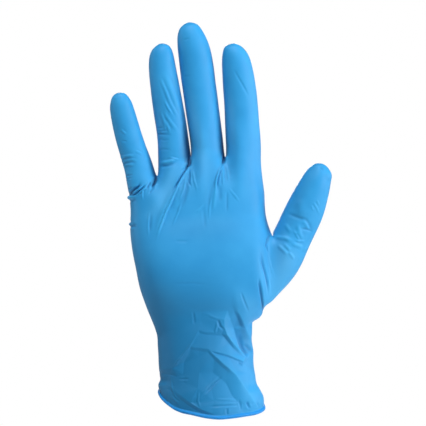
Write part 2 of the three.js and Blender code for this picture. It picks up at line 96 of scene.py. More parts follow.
# Fingers from the little finger to the index finger: width, depth and length, the lean to -X in
# degrees, the root's drop below the top web, and sections of (along, wide, shift)
FINGERS = [
    (18.7, 15.2, 52.8, 14.2, 0.11, [
        (0.13, 0.93, -0.03), (0.34, 0.89, -0.07), (0.56, 0.85, -0.09),
        (0.77, 0.78, -0.09), (0.89, 0.67, -0.08), (0.965, 0.45, -0.07)]),
    (20.3, 16.6, 75.3, 6.1, 0.053, [
        (0.12, 0.97, 0.045), (0.32, 0.92, 0.045), (0.55, 0.89, 0),
        (0.77, 0.82, -0.035), (0.915, 0.7, -0.02), (0.972, 0.46, 0.01)]),
    (20.6, 17.6, 81.3, 7.3, -0.013, [
        (0.1, 0.97, 0.01), (0.32, 0.98, 0.01), (0.56, 0.985, 0),
        (0.78, 0.96, -0.01), (0.92, 0.74, -0.06), (0.973, 0.5, -0.06)]),
    (21.8, 17.6, 71.1, 4.7, 0.015, [
        (0.12, 0.97, 0.04), (0.32, 0.95, 0.055), (0.56, 0.92, 0.075),
        (0.78, 0.84, 0.05), (0.91, 0.69, 0.01), (0.969, 0.47, -0.03)]),
]
WEB_DROPS = [0.11, 0, 0]

# Thumb sections: along, side, turn, wide, deep, curl
THUMB_SECTIONS = [
    (0.03, 0, 62, 1.22, 1.26, 0.15),
    (0.13, 0.01, 35, 1.01, 1.1, 0.25),
    (0.34, 0.02, 25, 0.985, 1, 0.4),
    (0.55, 0.04, 24, 0.92, 0.97, 0.55),
    (0.74, 0.09, 23, 0.79, 0.88, 0.7),
    (0.88, 0.17, 22, 0.6, 0.67, 0.85),
    (0.96, 0.25, 20, 0.38, 0.42, 0.95),
]

# Cuff rows: up, left, right, deep, rim
CUFF_ROWS = [
    (0, -0.5, 0.5, 1, 1),
    (0.13, -0.514, 0.5, 0.95, 0.8),
    (0.28, -0.504, 0.458, 0.76, 0.52),
    (0.46, -0.506, 0.42, 0.48, 0.27),
    (0.64, -0.51, 0.403, 0.26, 0.1),
    (0.82, -0.519, 0.386, 0.08, 0.02),
]

# Palm rows: up, left, right, front, back, round, hollow, arc
PALM_ROWS = [
    (0.1, -0.328, 0.502, 0.44, 0.47, 2.2, 0.2, 0),
    (0.2, -0.378, 0.605, 0.505, 0.46, 2.4, 0.6, 0),
    (0.37, -0.437, 0.594, 0.545, 0.43, 2.6, 1, 0.05),
    (0.565, -0.469, 0.581, 0.49, 0.4, 2.6, 1, 0.15),
    (0.68, -0.472, 0.535, 0.42, 0.38, 2.7, 0.7, 0.3),
    (0.82, -0.475, 0.524, 0.36, 0.34, 2.7, 0.2, 0.6),
]
THUMB_ROWS = slice(1, 4)

# The fingers' tips, how far the palm's corners stand in from the outer fingers' sides, and how far the
# roots' outer corners and the webs' edges lie below their middles
TIP_ROUNDNESS = 1.06
CORNER_INSET = 0.15
CORNER_DROP = 0.02
WEB_SLOPE = 0.02

# Numbers of the cage: columns across its front, points in a ring and round a finger, rounds of fitting,
# and subdivisions of the film's two sides
FRONT = 8
RING = 2 * (FRONT + 2)
AROUND = 8
FIT_ROUNDS = 10
OUTER_LEVELS = 3
INNER_LEVELS = 2

WIDTHS = [finger[0] for finger in FINGERS]
PALM_WIDTH = sum(WIDTHS)
ROOTS_LEFT = PALM_SHIFT - PALM_WIDTH / 2
TOP_WEB = CUFF_LENGTH + PALM_LENGTH


def mix(a, b, share):
    return a + (b - a) * share


# The cage, ring by ring
def finger_of(column):
    return min(column // 2, len(FINGERS) - 1)


def column_share(column, towards_roots):
    even = (1 - math.cos(math.pi * (column + 1) / (FRONT + 2))) / 2
    finger = finger_of(column)
    x = sum(WIDTHS[:finger]) + WIDTHS[finger] * (column / 2 - finger)
    if column == 0:
        x += CORNER_INSET * WIDTHS[0]
    if column == FRONT:
        x -= CORNER_INSET * WIDTHS[-1]
    return mix(even, x / PALM_WIDTH, towards_roots)


def root_arc(column):
    if column % 2 == 0 and 0 < column < FRONT:
        return -WEB_DROPS[column // 2 - 1] * PALM_LENGTH
    corner = CORNER_DROP if column in (0, FRONT) else 0
    return -(FINGERS[finger_of(column)][4] + corner) * PALM_LENGTH


def ring_of(towards_roots, place):
    columns = range(FRONT + 1)
    front = [place(column_share(c, towards_roots), -1, c) for c in columns]
    back = [place(column_share(c, towards_roots), 1, c) for c in reversed(columns)]
    return [place(0, 0, 0), *front, place(1, 0, FRONT), *back]


def cuff_ring(row):
    up, left, right, deep, rim = row
    half = mix(WRIST_DEPTH, OPENING_DEPTH, deep) / 2

    def place(share, face, _):
        sideways = 2 * share - 1
        forward = -face * math.sqrt(1 - sideways * sideways)
        droop = RIM_DROOP * (((1 + forward) / 2) ** 2 - RIM_LEVEL)
        z = up * CUFF_LENGTH + rim * (-RIM_TILT * sideways - droop)
        return (mix(left, right, share) * OPENING_WIDTH, -forward * half, z)

    return ring_of(0, place)


def wrist_ring():
    def place(share, face, _):
        y = face * WRIST_DEPTH * math.sqrt(1 - (2 * share - 1) ** 2) / 2
        return (WRIST_SHIFT + WRIST_WIDTH * (share - 0.5), y, CUFF_LENGTH)

    return ring_of(0, place)


def palm_ring(row):
    up, left, right, front, back, rounding, hollow, arc = row

    def place(share, face, column):
        sideways = abs(2 * share - 1)
        arch = (1 - sideways**rounding) ** (1 / rounding)
        dip = hollow * PALM_HOLLOW * (1 - sideways * sideways) ** 2
        y = -front * PALM_DEPTH * arch + dip if face < 0 else face * back * PALM_DEPTH * arch
        x = PALM_SHIFT + mix(left, right, share) * PALM_WIDTH
        return (x, y, CUFF_LENGTH + up * PALM_LENGTH + arc * root_arc(column))

    return ring_of(up, place)


def root_ring():
    def place(share, face, column):
        web = column % 2 == 0
        reach = WEB_DEPTH / 2 if web else FINGERS[finger_of(column)][1] * ROOT_REACH
        slope = WEB_SLOPE * PALM_LENGTH if web and face else 0
        z = TOP_WEB + root_arc(column) - slope * (2 if face > 0 else 1)
        return (ROOTS_LEFT + share * PALM_WIDTH, face * reach, z)

    return ring_of(1, place)


points = []
faces = []


def add_ring(ring):
    start = len(points)
    points.extend(np.array(point, float) for point in ring)
    return list(range(start, len(points)))


def add_band(lower, upper, skip=()):
    for i in range(len(lower)):
        after = (i + 1) % len(lower)
        if i not in skip:
            faces.append((lower[i], lower[after], upper[after], upper[i]))


def add_tube(root, sections, tip):
    lower = root
    for section in sections:
        upper = add_ring(section)
        add_band(lower, upper)
        lower = upper
    top = add_ring([tip])[0]
    for i in range(0, AROUND, 2):
        faces.append((lower[i - 1], lower[i], lower[i + 1], top))


def section_ring(centre, across, width, depth):
    ring = []
    for i in range(AROUND):
        angle = 2 * math.pi * i / AROUND
        sideways = across * math.cos(angle) * width / 2
        ring.append(centre - sideways - np.array((0, math.sin(angle) * depth / 2, 0)))
    return ring


def add_finger(i, ring, webs):
    width, depth, length, lean, drop, table = FINGERS[i]
    lean = math.radians(lean)
    axis = np.array((-math.sin(lean), 0, math.cos(lean)))
    across = np.array((math.cos(lean), 0, math.sin(lean)))
    root = np.array((ROOTS_LEFT + sum(WIDTHS[:i]) + width / 2, 0, TOP_WEB - drop * PALM_LENGTH))

    def at(along, shift):
        curl = np.array((0, -FINGER_CURL * along * along, 0))
        return root + axis * along * length + across * shift * width + curl

    sections = []
    for along, wide, shift in table:
        deep = min(1, wide * TIP_ROUNDNESS) * (1 + ROOT_SWELL * (1 - along) ** 3)
        sections.append(section_ring(at(along, shift), across, wide * width, deep * depth))
    column = 2 * i
    back = [ring[RING - 1 - c] for c in (column + 2, column + 1, column)]
    left = webs[i - 1] if i else ring[0]
    right = webs[i] if i < len(webs) else ring[FRONT + 2]
    around = [left, *ring[column + 1 : column + 4], right, *back]
    add_tube(around, sections, at(1, table[-1][2]))


def add_thumb(rows):
    low, middle, high = rows[THUMB_ROWS]
    side = FRONT + 2
    lean = math.radians(THUMB_LEAN)
    axis = np.array((math.sin(lean), 0, math.cos(lean)))
    outwards = np.array((math.cos(lean), 0, -math.sin(lean)))

    def at(along, shift, curl):
        bend = np.array((0, -curl * FINGER_CURL, 0))
        return points[high[side]] + axis * along * THUMB_LENGTH + outwards * shift * THUMB_WIDTH + bend

    sections = []
    for along, shift, turn, wide, deep, curl in THUMB_SECTIONS:
        turn = math.radians(turn)
        across = np.array((math.cos(turn), 0, -math.sin(turn)))
        centre = at(along, shift, curl) + across * wide * THUMB_WIDTH / 2
        sections.append(section_ring(centre, across, wide * THUMB_WIDTH, deep * THUMB_DEPTH))
    root = [high[side], high[side - 1], middle[side - 1], low[side - 1], low[side]]
    root += [low[side + 1], middle[side + 1], high[side + 1]]
    add_tube(root, sections, at(1, THUMB_TIP_SIDE, 1))


def build_cage():
    wrist = add_ring(wrist_ring())
    cuff = [add_ring(cuff_ring(row)) for row in CUFF_ROWS] + [wrist]
    for lower, upper in zip(cuff, cuff[1:]):
        add_band(lower, upper)
    palm = [add_ring(palm_ring(row)) for row in PALM_ROWS]
    roots = add_ring(root_ring())
    rings = [wrist, *palm, roots]
    for i, (lower, upper) in enumerate(zip(rings, rings[1:])):
        at_thumb = THUMB_ROWS.start < i < THUMB_ROWS.stop
        add_band(lower, upper, (FRONT + 1, FRONT + 2) if at_thumb else ())
    edges = [ROOTS_LEFT + sum(WIDTHS[: i + 1]) for i in range(len(WEB_DROPS))]
    webs = add_ring(
        [(x, 0, TOP_WEB - drop * PALM_LENGTH + WEB_CROWN) for x, drop in zip(edges, WEB_DROPS)]
    )
    for i in range(len(FINGERS)):
        add_finger(i, roots, webs)
    add_thumb(palm)


# Moves the cage so that its smooth surface passes through where its points stood. The weights are those
# of a Catmull-Clark surface for a point of the open edge and for any other.
def fitted(wanted):
    sides = [[] for _ in wanted]
    opposite = [[] for _ in wanted]
    uses = {}
    for face in faces:
        for i, a in enumerate(face):
            after = face[(i + 1) % 4]
            sides[a] += [after, face[i - 1]]
            opposite[a].append(face[(i + 2) % 4])
            uses.setdefault(frozenset((a, after)), []).append(a)
    open_ends = [[] for _ in wanted]
    for edge, users in uses.items():
        if len(users) == 1:
            a, b = edge
            open_ends[a].append(b)
            open_ends[b].append(a)
    moved = wanted.copy()
    for _ in range(FIT_ROUNDS):
        smooth = moved.copy()
        for i, ends in enumerate(open_ends):
            n = len(opposite[i])
            if ends:
                smooth[i] = (4 * moved[i] + moved[ends].sum(axis=0)) / 6
            elif n:
                total = n * n * moved[i] + 2 * moved[sides[i]].sum(axis=0)
                smooth[i] = (total + moved[opposite[i]].sum(axis=0)) / (n * (n + 5))
        moved += wanted - smooth
    return moved


build_cage()
cage = fitted(np.array(points))
used = sorted({i for face in faces for i in face})
renumber = {old: new for new, old in enumerate(used)}
cage_mesh = bpy.data.meshes.new("cage")
cage_mesh.from_pydata(
    [tuple(point) for point in cage[used] / 1000],
    [],
    [tuple(renumber[i] for i in face) for face in faces],
)
cage_object = add_object("cage", cage_mesh)
smoothing = cage_object.modifiers.new("smooth", "SUBSURF")
smoothing.boundary_smooth = "ALL"


def smooth_surface(levels):
    smoothing.levels = levels
    graph = bpy.context.evaluated_depsgraph_get()
    surface = bmesh.new()
    surface.from_mesh(cage_object.evaluated_get(graph).to_mesh())
    return surface


outer_surface = smooth_surface(OUTER_LEVELS)
inner_surface = smooth_surface(INNER_LEVELS)
bpy.data.objects.remove(cage_object)

# The photograph's frame: millimetres a pixel, its middle in pixels, and how far in front of the origin
# the glove's front lies
PIXEL = 0.605
FRAME_MIDDLE = 213
FRONT_DEPTH = 15

# Folds, as seen from the front: half width in pixels, run, height in millimetres, the points of the line,
# and the one end that fades where the other doesn't. A run of None is a plain round ridge or groove, and
# one of 0 has a shallow bend the other way on both sides. Any other is the length in pixels of its long
# side, which lies to the left of the line's way if it is above 0, seen with the frame's y up.
FOLDS = [
    # webs and the palm below them
    (1.6, 0, -1.1, [(190, 157), (189.6, 162), (188, 168)]),
    (1, 0, -0.9, [(187.4, 166), (182.5, 174), (177.7, 182.8), (173, 192)], "end"),
    (1.1, 0, 0.8, [(188.4, 166.8), (183.8, 174.9), (179.4, 183.3), (176.3, 189.6), (171.5, 200.7),
     (166.9, 210.5), (160, 228), (155, 243)]),
    (2.4, None, 0.6, [(177, 184), (172, 193), (168, 201), (163.5, 211), (158.5, 225), (154.5, 240)]),
    (5.5, None, 0.8, [(177, 158), (169.5, 171), (162, 184), (155, 198), (150, 214)]),
    (6, None, 1.2, [(200, 112), (202, 145), (201, 168), (199, 204)]),
    (7, None, 1.3, [(236, 112), (239, 145), (239, 170), (240, 206)]),
    (1, 0, -0.6, [(189.5, 168), (189.6, 177), (189, 182), (191.3, 188)]),
    (1.8, None, -0.45, [(189, 168), (186.8, 189), (184, 200), (180, 210)]),
    (2.6, None, 0.4, [(182, 182), (178, 196), (173, 210)]),
    (1.5, 0, -1.1, [(224.6, 154), (224, 160), (222.6, 165)]),
    (1, 0, 0.8, [(223.2, 163), (220.1, 169), (217.2, 177), (215.7, 183.7), (215.4, 192)]),
    (1, 0, -0.6, [(221.3, 167.3), (219, 174.3), (217.4, 182), (217.3, 188)]),
    (1.6, None, 0.5, [(215.6, 184), (215.2, 193), (214.2, 202), (213.5, 212)]),
    (1.8, None, -0.35, [(219.4, 184), (219.6, 192), (220, 203)]),
    (1.8, None, -0.3, [(214.4, 179), (210.6, 190), (208.6, 200), (208, 210)]),
    (1, 0, 0.4, [(222.4, 167), (222.8, 178), (223.2, 188)]),
    (1, 0, 0.25, [(225.4, 163), (227.6, 172), (228.4, 182)]),
    (1, 0, 0.3, [(186.8, 176), (183.6, 189), (178.6, 202)]),
    (1, 0, 0.2, [(192.4, 168), (194.2, 180), (197.6, 192)]),
    (1, 0, 0.22, [(181.6, 202), (177.4, 214), (171.6, 228)]),
    (1, 0, 0.2, [(211.6, 196), (209.4, 208), (208.8, 221)]),
    (1.2, None, -0.3, [(226.8, 190), (227, 202), (226.6, 214)]),
    (1, 0, 0.2, [(228.5, 188), (240, 202)]),
    (1.2, 0, 0.16, [(204, 204.5), (196, 213.5)]),
    (1.5, 0, -0.2, [(203, 206), (205.5, 230)]),
    (1.3, 0, -1.2, [(156.8, 176), (155.4, 181), (152.5, 187)]),
    (1.3, 0, -1.1, [(127, 195.5), (129, 194), (133, 190.3), (137.5, 187.3), (142, 183.3)]),
    (1, 0, 0.6, [(130, 195.6), (135, 191.3), (139, 188.2), (143.5, 183.7)]),
    (1.1, 0, -0.7, [(132, 195.6), (137, 192.4), (141, 189.6), (146, 184)]),
    (1, 0, 0.4, [(137, 194.2), (142, 190.5), (146.5, 186)]),
    (1, 0, -0.6, [(146.6, 189), (149, 184.5), (150.8, 181)]),
    (1.1, 0, -0.7, [(150.6, 189.5), (152.8, 185.8), (154.8, 181.5)]),
    (1, 0, -0.5, [(148.6, 193.8), (151.5, 190.5), (155, 186)]),
    (1.2, 0, -0.3, [(127, 189.5), (131, 188.3), (136, 187)]),
    (0.9, 0, 0.4, [(142.3, 188.5), (142.2, 194), (142.2, 200)]),
    (1, 0, 0.4, [(126, 196.4), (133, 196), (138, 196.6)]),
    (1.5, 0, -0.5, [(126, 198.8), (132, 199.5), (137, 200.6)]),
    (2.2, 0, -0.7, [(126, 225), (131, 224.6), (137, 225.6)], "end"),
    (1, 0, 0.25, [(149.2, 210), (148.4, 224), (148, 238)]),
    (1.6, 0, -0.3, [(150.5, 214), (149.3, 233)]),
    (1.1, 0, -0.14, [(174, 241), (190, 241)]),
    (1.1, 0, -0.14, [(172, 284), (190, 283), (209, 284.5)]),
    # root and ball of the thumb
    (1.2, 0, -0.4, [(270, 235), (266.5, 240), (263.5, 250)]),
    (1.1, None, -0.8, [(259.2, 250), (260.8, 263.3), (263.8, 275), (266.3, 286.7), (268, 297)]),
    (1.2, 0, 0.2, [(261.5, 255), (262.8, 263), (266, 275), (268.6, 287), (269.5, 297)]),
    (1.1, None, -0.9, [(257.4, 276), (259.6, 288.3), (261.7, 300), (263.5, 312)], "start"),
    (1.2, 0, 0.2, [(259.8, 280), (262, 290), (264, 300), (265.4, 309)]),
    (1.1, 0, -0.35, [(264.6, 243), (266.7, 253.5)]),
    (1.1, 0, 0.12, [(267, 254), (274, 277)]),
    (1.1, 0, -0.3, [(240.5, 291), (243.5, 300), (248.3, 312)]),
    # cuff, its fine creases
    (1.1, 0, 0.18, [(220.5, 374.6), (211, 384), (201, 394)]),
    (1.1, 0, -0.35, [(222, 376), (212.6, 385.2), (203, 395)]),
    (1.1, 0, -0.22, [(208, 406), (223, 405), (241, 404.6)]),
    (1.1, 0, -0.5, [(245.5, 401), (247, 405), (249, 409)]),
    (1.1, 0, -0.3, [(255, 402), (257.5, 408)]),
    (1.1, 0, -0.35, [(226.7, 407), (226.8, 415)]),
    (1.1, 0, 0.14, [(214, 398.5), (228, 399), (240, 400)]),
    (1, 0, 0.3, [(196.5, 336), (189.6, 347.5), (180.5, 359.5), (172, 370)]),
    (1.2, 0, -0.3, [(193.2, 311), (194.8, 325)]),
    (1.2, 0, 0.15, [(208, 315), (221, 319.5)]),
    (1.2, 0, -0.5, [(217.5, 319), (219.5, 326), (224, 331)]),
    (1.1, 0, 0.3, [(217, 322), (214.6, 334)]),
    (1.1, 0, 0.25, [(171, 396), (180, 404)]),
    (1.1, 0, -0.18, [(178, 379), (190, 378.5)]),
    (1.2, 0, -0.5, [(244, 344), (248, 349), (252, 354)]),
    (1.1, 0, -0.35, [(236, 363), (242, 366)]),
    (1.8, None, -0.8, [(238.5, 333), (241, 342), (243.6, 349), (248, 358)]),
    (1, 0, 0.2, [(171, 379), (173, 390), (177.5, 400)]),
    (1, 0, 0.2, [(199.4, 390), (198, 400), (201, 408)]),
    (1, 0, -0.22, [(238, 398), (240, 404), (241, 411)]),
    # ring finger
    (1.3, 0, 0.35, [(159.8, 78), (163.5, 86), (166.5, 93), (170.5, 103)]),
    (2.4, 0, 0.3, [(163.5, 71), (168, 82), (171.5, 91), (175.5, 101), (180, 114)]),
    (1.3, 0, 0.3, [(165, 90.5), (168.5, 99), (171.5, 105), (174.5, 111), (179.5, 118.5)]),
    (1.1, 0, 0.3, [(164, 100), (168, 108), (172.5, 114.5)]),
    (1.4, 0, 0.38, [(162, 110.5), (167, 117), (170.3, 122), (174, 126.3), (179, 132)]),
    (1.4, 0, 0.4, [(160, 111), (163, 118.5), (164.5, 124), (165.6, 131)]),
    (1.3, 0, 0.35, [(164.6, 119), (167.5, 126), (169.8, 133)]),
    (1.1, 0, -0.2, [(155, 127.2), (160, 127.8), (163.6, 127.4)]),
    (0.9, 0, -0.2, [(157, 130.4), (161, 131), (168, 129.8)]),
    (1.2, 0, -0.25, [(154, 134.4), (161, 134), (172, 134.8)]),
    (1, 0, -0.12, [(158, 138.6), (164, 140.2), (170, 139.6)]),
    (1.2, 0, -0.14, [(155, 149.6), (163, 149), (172, 149.8)]),
    (1, 0, 0.3, [(168.5, 157.6), (173, 158), (179, 159.8)]),
    (1.6, 0, 0.8, [(159, 163.2), (167, 162), (171, 160.8), (178, 159.6)]),
    (1.4, 0, -0.5, [(159, 166.4), (167, 166), (175, 163.8)]),
    (1.1, 0, -0.5, [(190, 163.6), (185.5, 167.5), (181, 171)]),
    (1, 0, -0.4, [(188.6, 167.2), (185.5, 170.5), (183.2, 174)]),
    # index and middle finger
    (1.2, 0, -0.2, [(233, 68), (241, 82), (250, 98)]),
    (1.1, 0, -0.12, [(183, 40), (190, 38)]),
    (1.1, 0, -0.1, [(183, 76), (191, 75.5)]),
    # little finger
    (1.1, 0, 0.2, [(120.3, 129), (123.5, 132.2), (126.5, 134.2)]),
    (1.2, 0, 0.2, [(134.5, 150.8), (138.5, 152.3), (142.5, 154.4)]),
    (1, 0, -0.15, [(121, 140.5), (127, 141.2)]),
    (1.4, 0, 0.45, [(117, 157.6), (126, 156.2), (130, 155.6), (136, 156.4)]),
    (1.3, 0, 0.45, [(118, 162), (127, 160.2), (131, 159.4), (138, 160.4)]),
    (1.2, 0, 0.25, [(121, 165.4), (129, 164.8), (135, 164.5)]),
    (1, 0, -0.3, [(123, 175), (128, 175.3), (133, 174.6)]),
    (1, 0, -0.3, [(123, 178.9), (132, 177.4)]),
    # thumb
    (4, None, 0.6, [(298, 198), (300, 204), (302, 212), (303, 218)]),
    (1.5, None, -0.5, [(287, 213.4), (291, 214.7), (296, 216.8), (301, 218.8), (309, 220.6)]),
    (1.3, None, -0.4, [(304.5, 217.6), (308.3, 223), (310, 226.5), (313, 231)]),
    (1.3, None, 0.4, [(302.5, 219.6), (306.3, 224.5), (309.3, 230)]),
    (1.1, None, -0.4, [(301, 228.6), (308, 229.8), (314, 232.2)]),
    (1.6, None, 0.5, [(296.8, 224), (299.3, 230), (301.6, 236)]),
    (1.6, None, 0.4, [(285.3, 223.2), (288.2, 228.5), (291.4, 233.4)]),
    (1.4, None, 0.4, [(295.6, 230.4), (300, 235), (304.6, 239)]),
    (1.1, None, 0.35, [(293.6, 230.4), (297, 236), (299.8, 240)]),
    (1.7, None, 0.6, [(272, 237.4), (280, 237.6), (285, 238), (288.5, 239.5), (294, 242)]),
    (1.3, None, 0.45, [(283.6, 243.6), (287.6, 247.5), (291.2, 251.4)]),
    (1.6, None, 0.6, [(277, 244.4), (282.5, 249.2), (288.6, 255.2)]),
    (1.5, None, 0.55, [(291, 243.2), (297, 245.3), (304, 248)]),
    (1.2, None, 0.4, [(288.4, 251.6), (291.8, 255.5), (294.6, 260.6)]),
    (1.1, None, 0.3, [(295, 240.7), (301, 241.3), (306, 240.8)]),
    (1.4, None, 0.3, [(302, 251), (306, 248.6), (309, 244.6)]),
    (1, None, 0.25, [(313, 201.6), (317, 208), (320.2, 215.4)]),
    (1, None, 0.2, [(316.8, 199.6), (319.4, 206)]),
    (1, None, 0.2, [(311, 205), (314, 211)]),
    (1.2, 0, -0.25, [(319.5, 167), (324, 170.5)]),
    (11, None, 1.6, [(263, 230), (263, 248), (265, 266), (266, 284), (264, 304)]),
]

# The crumpled film of the cuff's front: lines of points (x, y, height in millimetres), high on a ridge and
# low in a valley. The film between neighbouring lines is a facet. The lines round the outside lie at 0.
OUTSIDE = [
    [(146, 300, 0), (170, 300, 0), (190, 294, 0), (214, 288, 0), (232, 286, 0), (252, 288, 0),
     (274, 300, 0)],
    [(146, 340, 0), (146, 380, 0), (152, 402, 0), (170, 414, 0), (192, 422, 0), (220, 425, 0),
     (250, 421, 0), (274, 416, 0)],
    [(268, 330, 0), (268, 360, 0), (272, 385, 0)],
]
CREASES = [
    # long diagonal on the left, and the roll above the middle facets
    [(202, 312, 0.2), (200.5, 320, 0.5), (198.5, 330, 0.9), (190, 347, 1.3), (180, 359.5, 1.2),
     (173, 368.5, 0.8), (171, 376, 0.2)],
    [(198.5, 330, 0.9), (207, 332.3, 0.9), (215, 332.3, 0.9), (221, 334, 0.8)],
    [(200, 333, 0.65), (207.5, 334.7, 0.6), (215.5, 334.9, 0.6), (223.4, 336.4, 0.7),
     (228.4, 343.2, 0.6), (233.8, 349.2, 0.5), (239.2, 354.2, 0.4)],
    # upper leaf and the valley to its right
    [(227.5, 310, 0.3), (223.6, 319, 1.3), (223.8, 327.5, 1.7), (226, 335, 1.8), (230.4, 341.8, 1.6),
     (235.8, 347.6, 1.1), (241, 352.4, 0.6), (246, 358, 0.3)],
    [(230, 318, 0.5), (234, 328, -0.3), (237.4, 338, -0.8), (240.8, 346.4, -0.8), (245.4, 354, -0.3)],
    # deep valley and the ridge right of it
    [(234, 311, 0.4), (237.4, 318, 0.2), (239.6, 325, 0)],
    [(237.5, 311, 0.9), (241, 319, 1.2), (244.6, 329, 1.2), (248.4, 341, 0.9), (252, 352, 0.3)],
    # middle facets and the lower leaf
    [(190, 347, 1.3), (199, 347.8, 1.1), (208, 349, 1.3)],
    [(191.5, 349.6, 0.9), (199, 350.6, 0.7), (207.6, 352, 0.9)],
    [(208, 349, 1.3), (214, 351.4, 1.6), (228, 355.6, 1.7), (242, 361.6, 1.2)],
    [(211.2, 351.8, 1.5), (214.3, 353.2, 1.3), (228, 357.4, 1.2), (242, 363.4, 0.7), (251, 368, 0)],
    [(209.6, 351.2, 1.4), (215.6, 357.4, 2.3), (222, 364.3, 2.6), (227, 368.6, 2.5),
     (236, 371.2, 1.6), (249, 374.4, 0.6)],
    [(207.6, 352, 0.9), (213.6, 359, 1.4), (220, 366, 1.6), (225.6, 371, 1.6)],
    # lower part: ridges on the left and right, and what lies between
    [(199, 357, 0.4), (199.5, 372, 0.6), (198, 388, 0.7), (194, 402, 0.5)],
    [(184, 362, -0.2), (183, 374, -0.2), (184, 382, 0)],
    [(213, 372, 0.2), (211, 386, 0), (214, 400, -0.1)],
    [(227, 368.6, 2.5), (234, 376, 2.4), (239.5, 385, 2.3), (246.5, 393.6, 2), (253, 403.5, 1)],
    [(226, 383, 0.2), (232, 395, 0), (240, 404, 0)],
    # two folds above the rim
    [(166, 385, 0.2), (171, 387, 0.5), (181, 395, 0.8), (190.5, 401.8, 0.9), (200.5, 408, 0.8),
     (212, 412.6, 0.5)],
    [(167, 388.6, 0.2), (171, 390.2, 0.3), (180, 398, 0.4), (189, 404.8, 0.3), (199, 410.8, 0.2),
     (211, 415.2, 0)],
    # left side
    [(163, 333, 0.2), (163.6, 345, 0.5), (162.6, 358, 0.5), (162, 370, 0.2)],
    [(160, 386.4, 0.3), (167, 385.7, 0.2)],
    [(160, 374, -0.3), (168, 374.5, -0.2), (177, 376.5, 0)],
]

# Folds of the sides, that show in the outline and go round to the back
SIDE_FOLDS = [
    (5, -12, -2.6, [(240, 324), (252, 324.5), (262, 325.5), (276, 326.5)]),
    (9, None, -1.9, [(236, 386), (256, 386), (276, 386)]),
    (5, None, -1.5, [(246, 306), (262, 308), (280, 310)]),
    (6, None, 0.5, [(240, 353), (256, 353), (272, 353)]),
    (2, 0, 1.3, [(112, 192), (128, 197.5), (138, 199)]),
    (1.6, 0, 1, [(112, 226), (127, 224.5), (138, 223.5)]),
    (3.5, None, -0.9, [(140, 381), (158, 381), (176, 381)]),
    (5, None, 0.9, [(342, 166), (333, 173), (324, 180)]),
    (7, None, 0.5, [(304, 164), (311, 173), (318, 182)]),
    (16, None, -0.6, [(112, 268), (136, 270), (156, 272)]),
]

# Folds of the back, in the same frame seen through the hand
BACK_FOLDS = [
    (1.6, 0, -1.3, [(190, 157), (188, 174)]),
    (1.6, 0, -1.3, [(224.5, 155), (223, 172)]),
    (1.6, 0, -1.3, [(157, 175), (155, 192)]),
    (2.4, 0, 0.8, [(187, 168), (184, 192), (180, 226)]),
    (2.4, 0, 0.8, [(222, 166), (218, 190), (214, 224)]),
    (2.4, 0, 0.8, [(155, 188), (157, 208), (162, 234)]),
    (1.4, 0, -0.6, [(189, 172), (190, 196)]),
    (1.4, 0, -0.6, [(219, 172), (211, 196)]),
    (1.5, 0, -0.4, [(158, 118), (168, 120), (182, 117)]),
    (1.5, 0, -0.3, [(159, 123), (170, 124), (182, 121)]),
    (1.5, 0, -0.4, [(189, 104), (202, 106), (217, 102)]),
    (1.5, 0, -0.3, [(190, 109), (202, 110), (217, 107)]),
    (1.5, 0, -0.4, [(226, 117), (240, 119), (257, 116)]),
    (1.5, 0, -0.3, [(228, 122), (240, 123), (256, 121)]),
    (1.5, 0, -0.4, [(116, 148), (128, 147), (142, 143)]),
    (1.5, 0, -0.5, [(286, 218), (298, 224), (312, 226)]),
    (1.5, 0, -0.4, [(280, 232), (292, 238), (306, 240)]),
    (4, None, 0.9, [(268, 244), (263, 258), (259, 272), (256, 286), (254, 300)]),
    (1.4, 0, -0.7, [(262, 262), (257, 274), (253, 286), (250, 298), (249, 310)]),
    (1.4, 0, -0.4, [(268, 262), (265, 276), (263, 290)]),
    # back of the wrist
    (5, None, 1.1, [(254, 322), (242, 329), (228, 333), (212, 334), (196, 331), (182, 325)]),
    (1.4, 0, -0.5, [(250, 331), (240, 335.5), (227, 338.5), (212, 339.5), (198, 337)]),
    (3, None, 0.7, [(246, 345), (236, 350), (222, 353), (206, 352), (191, 347), (178, 339)]),
    (1.4, 0, -0.45, [(216, 357), (203, 356.5), (190, 352.5), (180, 346.5)]),
    (6, None, 1.1, [(240, 356), (231, 364), (223, 374), (217, 386), (214, 399)]),
    (1.4, 0, 0.5, [(234, 360), (226, 367.5), (219, 378), (215, 390)]),
    (1.4, 0, -0.6, [(222, 362), (214, 370), (208, 381), (205, 393)]),
    (4, None, -0.8, [(170, 352), (176, 364), (185, 374), (197, 381)]),
    (1.4, 0, 0.5, [(164, 362), (171, 374), (181, 384), (194, 391), (208, 395)]),
    (1.4, 0, -0.4, [(168, 384), (178, 393), (190, 399)]),
    (3.5, None, 0.7, [(253, 352), (249, 364), (248, 378), (251, 392)]),
    (1.4, 0, -0.4, [(243, 366), (240, 378), (241, 391)]),
]

# How far a fold reaches from its line, in half widths, and the shares of its line over which it fades
FOLD_REACH = 4
START_FADE = 0.3
END_FADE = 0.35

# The bends beside a fold with a run of 0: their depth as a share of its height, their place in half widths
# and the square of their spread. Then how full a long side is.
BEND_DEPTH = 0.35
BEND_PLACE = 1.6
BEND_SPREAD = 0.5
LONG_SIDE_FULLNESS = 0.6

# Folds and creases begin where the film faces their side by this much, and are at their full height this
# much further on. The sides' folds count how far it faces sideways beyond a half.
FOLDS_FROM = -0.12
FOLDS_BLEND = 0.45
SIDEWAYS = 0.5
CREASES_FROM = -0.1
CREASES_BLEND = 0.3

# The cuff's creases: how much their heights are raised, how far they are rounded in millimetres, and how
# far they are smoothed out to tell ridges from valleys in the painted shade and light
CREASE_LIFT = 1.45
ROUNDING = 0.2
BROAD_ROUNDING = 2.2

